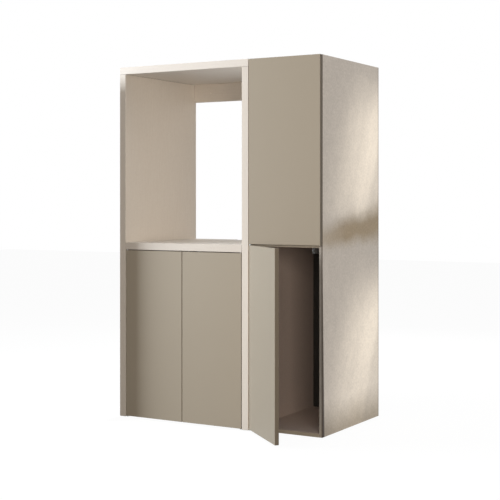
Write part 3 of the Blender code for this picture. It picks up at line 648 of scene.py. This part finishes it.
# The screws of the latches and strikes: small zinc-plated steel pan heads with a cross,
# cold-headed, and driven straight into the board.
SCREW_RADIUS = 0.0026
SCREW_HEIGHT = 0.0014
CROSS_LENGTH = 0.0028
CROSS_WIDTH = 0.0006
CROSS_DEPTH = 0.0009
HEAD_ROUND = 0.0009
HEAD_STEPS = 4
OVERRUN = 0.001
ROUND_SIDES = 32
SMOOTH_ANGLE = math.radians(35)
# A face looks along an axis where its normal goes at least this far along it.
FACING = 0.9
FACE_DOWN = (math.radians(180), 0, 0)
FACE_BACK = (-QUARTER_TURN, 0, 0)


def select_only(piece):
    """The piece alone is selected and active."""
    deselect()
    piece.select_set(True)
    bpy.context.view_layer.objects.active = piece


def use_modifier(piece, kind, **settings):
    """Adds a modifier with these settings and applies it."""
    modifier = piece.modifiers.new("shape", kind)
    for name, value in settings.items():
        setattr(modifier, name, value)
    bpy.context.view_layer.objects.active = piece
    bpy.ops.object.modifier_apply(modifier=modifier.name)


def add_block(name, low, high):
    """A block between two corners, with its place in its mesh."""
    deselect()
    bpy.ops.mesh.primitive_cube_add(
        size=1, location=[(a + b) / 2 for a, b in zip(low, high)],
        scale=[b - a for a, b in zip(low, high)])
    place_in_mesh()
    piece = bpy.context.object
    piece.name = name
    return piece


def add_disc(name, radius, start, end, turn=(0, 0, 0), sides=ROUND_SIDES):
    """A round bar on its own axis, from one height on it to another, then turned."""
    deselect()
    bpy.ops.mesh.primitive_cylinder_add(radius=radius, depth=end - start, vertices=sides)
    piece = bpy.context.object
    piece.name = name
    bpy.ops.object.mode_set(mode="EDIT")
    bpy.ops.mesh.select_all(action="SELECT")
    bpy.ops.transform.translate(value=(0, 0, (start + end) / 2))
    bpy.ops.object.mode_set(mode="OBJECT")
    piece.rotation_euler = turn
    place_in_mesh()
    return piece


def join_shape(piece, other, operation):
    """Cuts the other piece from this one, or adds it, and removes the other."""
    use_modifier(piece, "BOOLEAN", operation=operation, object=other, solver="EXACT")
    bpy.data.objects.remove(other, do_unlink=True)


def edit_faces(piece, test):
    """Edit mode, with only the faces selected whose centre and normal pass the test."""
    select_only(piece)
    bpy.context.tool_settings.mesh_select_mode = (False, False, True)
    mesh = piece.data
    for group in (mesh.vertices, mesh.edges):
        group.foreach_set("select", [False] * len(group))
    mesh.polygons.foreach_set("select", [bool(test(face.center, face.normal))
                                         for face in mesh.polygons])
    bpy.ops.object.mode_set(mode="EDIT")


def end_edit():
    """Back to object mode."""
    bpy.ops.object.mode_set(mode="OBJECT")


def shade(piece, angle=SMOOTH_ANGLE):
    """Smooth, apart from the edges that turn by more than the angle."""
    select_only(piece)
    bpy.ops.object.shade_smooth_by_angle(angle=angle)


def screw_head(turn):
    """A pan head that stands on the origin, turned to the way that it faces."""
    head = add_disc("screw pattern", SCREW_RADIUS, 0, SCREW_HEIGHT)
    edit_faces(head, lambda centre, normal: normal.z > FACING)
    bpy.ops.mesh.bevel(offset=HEAD_ROUND, segments=HEAD_STEPS, affect="EDGES")
    end_edit()
    for length, width in ((CROSS_LENGTH, CROSS_WIDTH), (CROSS_WIDTH, CROSS_LENGTH)):
        bar = add_block("cross", (-length / 2, -width / 2, SCREW_HEIGHT - CROSS_DEPTH),
                        (length / 2, width / 2, SCREW_HEIGHT + OVERRUN))
        join_shape(head, bar, "DIFFERENCE")
    select_only(head)
    head.rotation_euler = turn
    place_in_mesh()
    shade(head)
    return head


SCREW_DOWN = screw_head(FACE_DOWN)
SCREW_BACK = screw_head(FACE_BACK)


# The push latches under the boards: a dark moulded housing with windows in its sides
# and two screwed ears, and a sprung plunger with a magnet in its tip.
GREY_LIGHT = (0.08, 0.08, 0.08, 1)
GREY_SHADE = (0.065, 0.065, 0.065, 1)
GREY_ROUGH = 0.48
BLACK_LIGHT = (0.03, 0.03, 0.03, 1)
BLACK_SHADE = (0.022, 0.022, 0.022, 1)
BLACK_ROUGH = 0.45
FACE_FRONT = (QUARTER_TURN, 0, 0)
LATCH_WIDTH = 0.014
LATCH_EDGE = 0.0009
LATCH_STEPS = 3
LATCH_SHARP = math.radians(70)
LATCH_WINDOWS = 4
LATCH_WINDOW_FRAME = 0.0016
LATCH_WINDOW_DEPTH = 0.0008
COLLAR_RADIUS = 0.0052
COLLAR_PROUD = 0.0006
BORE_RADIUS = 0.0037
BORE_DEPTH = 0.056
EAR_THICKNESS = 0.0024
EAR_SINK = 0.0001
EAR_START = 0.018
EAR_END = 0.002
EAR_EDGE = 0.00045
EAR_SCREW = 0.012
EDGE_STEPS = 2
DEFAULT_SHARP = math.radians(30)
TURNED_SHARP = math.radians(60)
TIP_RADIUS = 0.0027
TIP_LENGTH = 0.004
PLUNGER_RADIUS = 0.0033
PLUNGER_ROUND = 0.0002
MAGNET_RADIUS = 0.0019
MAGNET_PROUD = 0.0002
MAGNET_ROUND = 0.0001
GREY_PLASTIC = smooth_plastic("dark grey plastic", GREY_LIGHT, GREY_SHADE, GREY_ROUGH)
BLACK_PLASTIC = smooth_plastic("black plastic", BLACK_LIGHT, BLACK_SHADE, BLACK_ROUGH)


def extrude_by(way):
    """The selected faces are drawn out along the way."""
    bpy.ops.mesh.extrude_region_move(TRANSFORM_OT_translate={"value": way})


def round_edges(piece, width, steps=EDGE_STEPS, sharp=DEFAULT_SHARP):
    """Rounds the edges that turn by more than the sharp angle."""
    use_modifier(piece, "BEVEL", width=width, segments=steps, limit_method="ANGLE",
                 angle_limit=sharp)


def copy_to(pattern, name, place, turn=0.0):
    """A copy with its own mesh, turned about the vertical and moved to its place."""
    piece = pattern.copy()
    piece.data = pattern.data.copy()
    piece.name = name
    bpy.context.scene.collection.objects.link(piece)
    select_only(piece)
    piece.rotation_euler = (0, 0, turn)
    piece.location = place
    place_in_mesh()
    return piece


def give(piece, material, body, slot, *replaced):
    """Its finish, the body it moves with, and the CAD nodes that it stands for."""
    piece.data.materials.clear()
    piece.data.materials.append(material)
    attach(piece, body)
    if replaced:
        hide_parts(*replaced)


def middle_of(low, high):
    """The middle of the box between two corners."""
    return [(a + b) / 2 for a, b in zip(low, high)]


def clear_away(*patterns):
    """Removes the patterns once their copies are in place."""
    for pattern in patterns:
        bpy.data.objects.remove(pattern, do_unlink=True)


def latch_housing(length, height, spread):
    """The housing, its front face on the origin and its length along +Y."""
    half = LATCH_WIDTH / 2
    housing = add_block("latch pattern", (-half, 0, -height / 2),
                        (half, length, height / 2))
    edit_faces(housing, lambda centre, normal: True)
    for step in range(1, LATCH_WINDOWS):
        cut = length * step / LATCH_WINDOWS
        bpy.ops.mesh.select_all(action="SELECT")
        bpy.ops.mesh.bisect(plane_co=(0, cut, 0), plane_no=(0, 1, 0))
    end_edit()
    edit_faces(housing, lambda centre, normal: abs(normal.x) > FACING)
    bpy.ops.mesh.inset(thickness=LATCH_WINDOW_FRAME, use_individual=True)
    bpy.ops.mesh.inset(thickness=LATCH_WINDOW_DEPTH / 2, depth=-LATCH_WINDOW_DEPTH,
                       use_individual=True)
    end_edit()
    round_edges(housing, LATCH_EDGE, LATCH_STEPS, LATCH_SHARP)
    ears = add_block("ears", (-spread / 2, length - EAR_START, height / 2 - EAR_THICKNESS),
                     (spread / 2, length - EAR_END, height / 2 - EAR_SINK))
    round_edges(ears, EAR_EDGE)
    collar = add_disc("collar", COLLAR_RADIUS, -BORE_RADIUS, COLLAR_PROUD, FACE_FRONT)
    bore = add_disc("bore", BORE_RADIUS, -BORE_DEPTH, BORE_RADIUS, FACE_FRONT)
    join_shape(housing, ears, "UNION")
    join_shape(housing, collar, "UNION")
    join_shape(housing, bore, "DIFFERENCE")
    shade(housing)
    return housing


def plunger(length):
    """The plunger, its tip on the origin and its length along +Y, and its magnet."""
    rod = add_disc("plunger pattern", PLUNGER_RADIUS, -length, -TIP_LENGTH, FACE_FRONT)
    edit_faces(rod, lambda centre, normal: normal.y < -FACING)
    bpy.ops.mesh.inset(thickness=PLUNGER_RADIUS - TIP_RADIUS)
    extrude_by((0, -TIP_LENGTH, 0))
    bpy.ops.mesh.inset(thickness=TIP_RADIUS - MAGNET_RADIUS)
    extrude_by((0, MAGNET_RADIUS, 0))
    end_edit()
    round_edges(rod, PLUNGER_ROUND, sharp=TURNED_SHARP)
    magnet = add_disc("magnet pattern", MAGNET_RADIUS - MAGNET_ROUND,
                      -MAGNET_RADIUS + MAGNET_PROUD, MAGNET_PROUD, FACE_FRONT)
    round_edges(magnet, MAGNET_ROUND)
    shade(rod)
    shade(magnet)
    return rod, magnet


def fit_latches():
    """One latch for each door, with two screws through its ears."""
    low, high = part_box("left_door_latch")
    housing = latch_housing(high[1] - low[1], high[2] - low[2], high[0] - low[0])
    tip_low, tip_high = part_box("left_door_plunger")
    rod, magnet = plunger(tip_high[1] - tip_low[1])
    for door in DOORS:
        low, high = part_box(door + "_latch")
        centre, _, height = middle_of(low, high)
        piece = copy_to(housing, door + "_latch_housing", (centre, low[1], height))
        give(piece, GREY_PLASTIC, "cabinet", "grey_plastic", door + "_latch")
        for end, side in (("left", -1), ("right", 1)):
            screw = copy_to(SCREW_DOWN, f"{door}_latch_screw_{end}",
                            (centre + side * EAR_SCREW,
                             high[1] - (EAR_START + EAR_END) / 2, high[2] - EAR_THICKNESS))
            give(screw, ZINC_STEEL, "cabinet", "steel")
        low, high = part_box(door + "_plunger")
        centre, _, height = middle_of(low, high)
        tip = (centre, low[1], height)
        piece = copy_to(rod, door + "_plunger_rod", tip)
        give(piece, BLACK_PLASTIC, door + "_plunger", "black_plastic", door + "_plunger")
        piece = copy_to(magnet, door + "_plunger_magnet", tip)
        give(piece, ZINC_STEEL, door + "_plunger", "steel")
    clear_away(housing, rod, magnet, SCREW_DOWN)


fit_latches()


# The strikes on the doors' backs: small dished steel discs that the magnets hold,
# each with one screw, sunk so that its head lies just below the rim.
STRIKE_RADIUS = 0.0075
STRIKE_SIDES = 48
STRIKE_RIM = 0.0028
STRIKE_DISH = 0.0005
STRIKE_ROUND = 0.0003
STRIKE_SINK = 0.0001


def fit_strikes():
    """A strike and its screw on each door's back, turned with a door that is ajar."""
    low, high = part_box("left_door_strike")
    thickness = high[1] - low[1]
    disc = add_disc("strike pattern", STRIKE_RADIUS, 0, thickness, FACE_BACK,
                    sides=STRIKE_SIDES)
    edit_faces(disc, lambda centre, normal: normal.y > FACING)
    bpy.ops.mesh.inset(thickness=STRIKE_RIM)
    bpy.ops.mesh.inset(thickness=STRIKE_DISH, depth=-STRIKE_DISH)
    end_edit()
    round_edges(disc, STRIKE_ROUND, sharp=TURNED_SHARP)
    shade(disc)
    for door in DOORS:
        turn = LOWER_DOOR_TURN if door == "lower_column_door" else 0.0
        middle = middle_of(*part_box(door + "_strike"))
        back = (-math.sin(turn), math.cos(turn))
        foot = (middle[0] - back[0] * thickness / 2, middle[1] - back[1] * thickness / 2,
                middle[2])
        piece = copy_to(disc, door + "_strike_disc", foot, turn)
        give(piece, ZINC_STEEL, door, "steel", door + "_strike")
        rise = thickness - STRIKE_SINK - SCREW_HEIGHT
        seat = (foot[0] + back[0] * rise, foot[1] + back[1] * rise, foot[2])
        screw = copy_to(SCREW_BACK, door + "_strike_screw", seat, turn)
        give(screw, ZINC_STEEL, door, "steel")
    clear_away(disc, SCREW_BACK)


fit_strikes()


# The levelling feet: black moulded discs with a knurled rim on a steel stem, screwed
# up into the boards.
FOOT_SIDES = 48
FOOT_KNURL = 0.0005
KNURL_ANGLE = math.radians(25)
FOOT_WAIST = 0.008
FOOT_RIM = 0.003
FOOT_ROUND = 0.0004
STEM_SIDES = 24
UPRIGHT_FACE = 0.1


def every_other_side(centre, normal):
    """True for each second face of the rim."""
    turn = math.atan2(centre.y, centre.x) / (2 * math.pi / FOOT_SIDES)
    return abs(normal.z) < UPRIGHT_FACE and int(round(turn - 0.5)) % 2 == 0


def fit_feet():
    """A disc with a drawn-in neck and a knurled rim, and a stem, at each foot's place."""
    low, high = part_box("foot_left_front")
    board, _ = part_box("frame_left_side")
    radius = (high[0] - low[0]) / 2 - FOOT_KNURL
    disc = add_disc("foot pattern", radius, 0, FOOT_RIM, sides=FOOT_SIDES)
    edit_faces(disc, lambda centre, normal: normal.z > FACING)
    extrude_by((0, 0, board[2] - FOOT_RIM))
    size = FOOT_WAIST / radius
    bpy.ops.transform.resize(value=(size, size, 1), center_override=(0, 0, board[2]))
    end_edit()
    edit_faces(disc, every_other_side)
    bpy.ops.mesh.inset(thickness=FOOT_KNURL / 3, depth=FOOT_KNURL, use_individual=True)
    end_edit()
    shade(disc, KNURL_ANGLE)
    stem = add_disc("stem pattern", FOOT_WAIST / 2, board[2] - FOOT_ROUND, high[2],
                    sides=STEM_SIDES)
    round_edges(stem, FOOT_ROUND)
    shade(stem)
    for name in [name for name in nodes if name.startswith("foot_")]:
        middle = middle_of(*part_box(name))
        place = (middle[0], middle[1], 0)
        piece = copy_to(disc, name + "_disc", place)
        give(piece, BLACK_PLASTIC, "cabinet", "black_plastic", name)
        piece = copy_to(stem, name + "_stem", place)
        give(piece, ZINC_STEEL, "cabinet", "steel")
    clear_away(disc, stem)


fit_feet()
